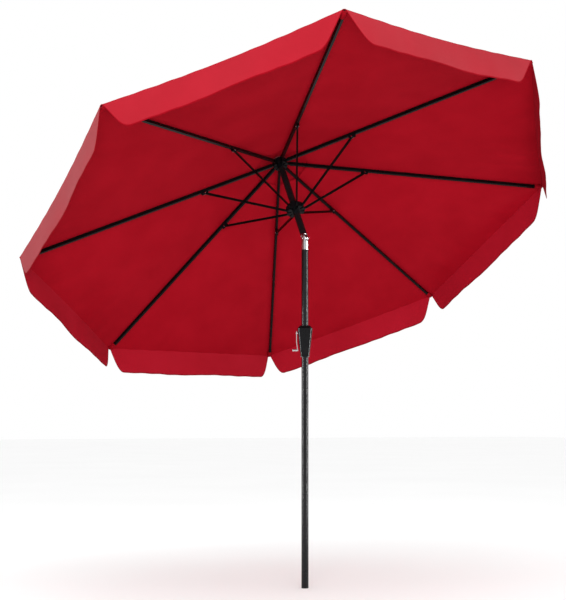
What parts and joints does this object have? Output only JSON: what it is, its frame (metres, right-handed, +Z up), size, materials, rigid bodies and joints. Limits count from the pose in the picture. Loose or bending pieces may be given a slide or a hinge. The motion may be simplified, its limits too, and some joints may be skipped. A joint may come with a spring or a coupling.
{
  "type": "patio umbrella",
  "caption": "Tilting patio umbrella with an eight-rib octagonal cloth canopy, crank lift, tilt knuckle and a straight pole for a separate base.",
  "frame": {"origin": "centre of the pole's foot, on the pole's axis", "axes": "+Z up the lower pole; the open canopy leans towards +X about the knuckle pin, which lies along Y"},
  "size_m": [2.528, 2.8308, 2.6766],
  "materials": {
    "black_steel": "satin powder coat",
    "black_plastic": "gloss",
    "bright_metal": "polished",
    "red_cloth": "woven polyester",
    "black_webbing": "woven webbing",
    "white_cord": "braided"
  },
  "bodies": {
    "lower_pole": {"foot_plug": "black_plastic", "lower_pole_tube": "black_steel", "middle_pole_tube": "black_steel", "lower_knuckle": "bright_metal", "knuckle_rivets": "bright_metal", "crank_case_front": "black_plastic", "crank_case_back": "black_plastic", "case_screws": "bright_metal", "lift_cord_lower": "white_cord", "button_spring": "bright_metal"},
    "tilt_button": {"tilt_button": "bright_metal"},
    "crank": {"crank_shaft": "bright_metal", "cord_spool": "black_plastic", "crank_arm": "bright_metal"},
    "crank_knob": {"crank_knob": "bright_metal"},
    "upper_pole": {"upper_knuckle": "bright_metal", "upper_pole_tube": "black_steel", "top_hub": "black_plastic", "hub_pins": "black_steel", "finial": "black_plastic", "finial_screw": "bright_metal", "pulley_pin": "black_steel", "lift_cord_upper": "white_cord", "lift_cord_outer": "white_cord", "vent_cap": "red_cloth"},
    "pulley": {"pulley": "black_plastic"},
    "runner": {"runner": "black_plastic"},
    "rib_1": {"rib_1": "black_steel", "rib_fittings_1": "black_plastic", "canopy_panel_1": "red_cloth"},
    "strut_1": {"strut_1": "black_steel"},
    "rib_2": {"rib_2": "black_steel", "rib_fittings_2": "black_plastic", "canopy_panel_2": "red_cloth"},
    "strut_2": {"strut_2": "black_steel"},
    "rib_3": {"rib_3": "black_steel", "rib_fittings_3": "black_plastic", "canopy_panel_3": "red_cloth"},
    "strut_3": {"strut_3": "black_steel"},
    "rib_4": {"rib_4": "black_steel", "rib_fittings_4": "black_plastic", "canopy_panel_4": "red_cloth"},
    "strut_4": {"strut_4": "black_steel"},
    "rib_5": {"rib_5": "black_steel", "rib_fittings_5": "black_plastic", "canopy_panel_5": "red_cloth"},
    "strut_5": {"strut_5": "black_steel"},
    "rib_6": {"rib_6": "black_steel", "rib_fittings_6": "black_plastic", "canopy_panel_6": "red_cloth"},
    "strut_6": {"strut_6": "black_steel"},
    "rib_7": {"rib_7": "black_steel", "rib_fittings_7": "black_plastic", "canopy_panel_7": "red_cloth"},
    "strut_7": {"strut_7": "black_steel"},
    "rib_8": {"rib_8": "black_steel", "rib_fittings_8": "black_plastic", "canopy_panel_8": "red_cloth", "tie_strap": "black_webbing"},
    "strut_8": {"strut_8": "black_steel"}
  },
  "joints": [
    {"name": "pole_tilt", "type": "hinge", "parent": "lower_pole", "child": "upper_pole", "pos_m": [0, 0, 1.886], "axis": [0, -1, 0], "range_deg": [0, 28.4]},
    {"name": "canopy_fold", "type": "hinge", "parent": "upper_pole", "child": "rib_1", "pos_m": [0.2846, 0.01225, 2.3502], "axis": [-0.3366, 0.9239, 0.182], "range_deg": [0, 69], "deforming": ["canopy_panel_1", "canopy_panel_2", "canopy_panel_3", "canopy_panel_4", "canopy_panel_5", "canopy_panel_6", "canopy_panel_7", "canopy_panel_8", "lift_cord_outer"]},
    {"name": "strut_1_fold", "type": "hinge", "parent": "rib_1", "child": "strut_1", "pos_m": [0.57859, 0.18283, 2.02805], "axis": [-0.3366, 0.9239, 0.182], "range_deg": [-139.88, 0]},
    {"name": "rib_2_fold", "type": "hinge", "parent": "upper_pole", "child": "rib_2", "pos_m": [0.26937, 0.02956, 2.35844], "axis": [-0.8127, 0.3827, 0.4394], "range_deg": [0, 69]},
    {"name": "strut_2_fold", "type": "hinge", "parent": "rib_2", "child": "strut_2", "pos_m": [0.35115, 0.4414, 2.15103], "axis": [-0.8127, 0.3827, 0.4394], "range_deg": [-139.88, 0]},
    {"name": "rib_3_fold", "type": "hinge", "parent": "upper_pole", "child": "rib_3", "pos_m": [0.24782, 0.02956, 2.37009], "axis": [-0.8127, -0.3827, 0.4394], "range_deg": [0, 69]},
    {"name": "strut_3_fold", "type": "hinge", "parent": "rib_3", "child": "strut_3", "pos_m": [0.02949, 0.4414, 2.32495], "axis": [-0.8127, -0.3827, 0.4394], "range_deg": [-139.88, 0]},
    {"name": "rib_4_fold", "type": "hinge", "parent": "upper_pole", "child": "rib_4", "pos_m": [0.23259, 0.01225, 2.37833], "axis": [-0.3366, -0.9239, 0.182], "range_deg": [0, 69]},
    {"name": "strut_4_fold", "type": "hinge", "parent": "rib_4", "child": "strut_4", "pos_m": [-0.19795, 0.18283, 2.44793], "axis": [-0.3366, -0.9239, 0.182], "range_deg": [-139.88, 0]},
    {"name": "rib_5_fold", "type": "hinge", "parent": "upper_pole", "child": "rib_5", "pos_m": [0.23259, -0.01225, 2.37833], "axis": [0.3366, -0.9239, -0.182], "range_deg": [0, 69]},
    {"name": "strut_5_fold", "type": "hinge", "parent": "rib_5", "child": "strut_5", "pos_m": [-0.19795, -0.18283, 2.44793], "axis": [0.3366, -0.9239, -0.182], "range_deg": [-139.88, 0]},
    {"name": "rib_6_fold", "type": "hinge", "parent": "upper_pole", "child": "rib_6", "pos_m": [0.24782, -0.02956, 2.37009], "axis": [0.8127, -0.3827, -0.4394], "range_deg": [0, 69]},
    {"name": "strut_6_fold", "type": "hinge", "parent": "rib_6", "child": "strut_6", "pos_m": [0.02949, -0.4414, 2.32495], "axis": [0.8127, -0.3827, -0.4394], "range_deg": [-139.88, 0]},
    {"name": "rib_7_fold", "type": "hinge", "parent": "upper_pole", "child": "rib_7", "pos_m": [0.26937, -0.02956, 2.35844], "axis": [0.8127, 0.3827, -0.4394], "range_deg": [0, 69]},
    {"name": "strut_7_fold", "type": "hinge", "parent": "rib_7", "child": "strut_7", "pos_m": [0.35115, -0.4414, 2.15103], "axis": [0.8127, 0.3827, -0.4394], "range_deg": [-139.88, 0]},
    {"name": "rib_8_fold", "type": "hinge", "parent": "upper_pole", "child": "rib_8", "pos_m": [0.2846, -0.01225, 2.3502], "axis": [0.3366, 0.9239, -0.182], "range_deg": [0, 69]},
    {"name": "strut_8_fold", "type": "hinge", "parent": "rib_8", "child": "strut_8", "pos_m": [0.57859, -0.18283, 2.02805], "axis": [0.3366, 0.9239, -0.182], "range_deg": [-139.88, 0]},
    {"name": "runner_slide", "type": "slide", "parent": "upper_pole", "child": "runner", "axis": [-0.4756, 0, -0.8796], "range_m": [0, 0.1505]},
    {"name": "crank_turn", "type": "hinge", "parent": "lower_pole", "child": "crank", "pos_m": [0, 0, 1.358], "axis": [0.5592, 0.829, 0], "range_deg": [-888, 0]},
    {"name": "knob_spin", "type": "hinge", "parent": "crank", "child": "crank_knob", "pos_m": [0.02796, 0.04145, 1.263], "axis": [0.5592, 0.829, 0], "continuous": true},
    {"name": "pulley_turn", "type": "hinge", "parent": "upper_pole", "child": "pulley", "pos_m": [0.24594, 0, 2.33245], "axis": [0, 1, 0], "range_deg": [0, 1050.1]},
    {"name": "tilt_button_push", "type": "slide", "parent": "lower_pole", "child": "tilt_button", "axis": [1, 0, 0], "range_m": [0, 0.0025], "stiffness_N_per_m": 400, "springref_m": -0.002, "deforming": ["button_spring"]}
  ],
  "couplings": [
    {"joint": "strut_1_fold", "follows": "canopy_fold", "ratio": -2.02},
    {"joint": "rib_2_fold", "follows": "canopy_fold", "ratio": 1},
    {"joint": "strut_2_fold", "follows": "canopy_fold", "ratio": -2.02},
    {"joint": "rib_3_fold", "follows": "canopy_fold", "ratio": 1},
    {"joint": "strut_3_fold", "follows": "canopy_fold", "ratio": -2.02},
    {"joint": "rib_4_fold", "follows": "canopy_fold", "ratio": 1},
    {"joint": "strut_4_fold", "follows": "canopy_fold", "ratio": -2.02},
    {"joint": "rib_5_fold", "follows": "canopy_fold", "ratio": 1},
    {"joint": "strut_5_fold", "follows": "canopy_fold", "ratio": -2.02},
    {"joint": "rib_6_fold", "follows": "canopy_fold", "ratio": 1},
    {"joint": "strut_6_fold", "follows": "canopy_fold", "ratio": -2.02},
    {"joint": "rib_7_fold", "follows": "canopy_fold", "ratio": 1},
    {"joint": "strut_7_fold", "follows": "canopy_fold", "ratio": -2.02},
    {"joint": "rib_8_fold", "follows": "canopy_fold", "ratio": 1},
    {"joint": "strut_8_fold", "follows": "canopy_fold", "ratio": -2.02},
    {"joint": "runner_slide", "follows": "canopy_fold", "m_per_rad": 0.12456},
    {"joint": "crank_turn", "follows": "canopy_fold", "ratio": -12.841},
    {"joint": "pulley_turn", "follows": "canopy_fold", "ratio": 15.19}
  ]
}
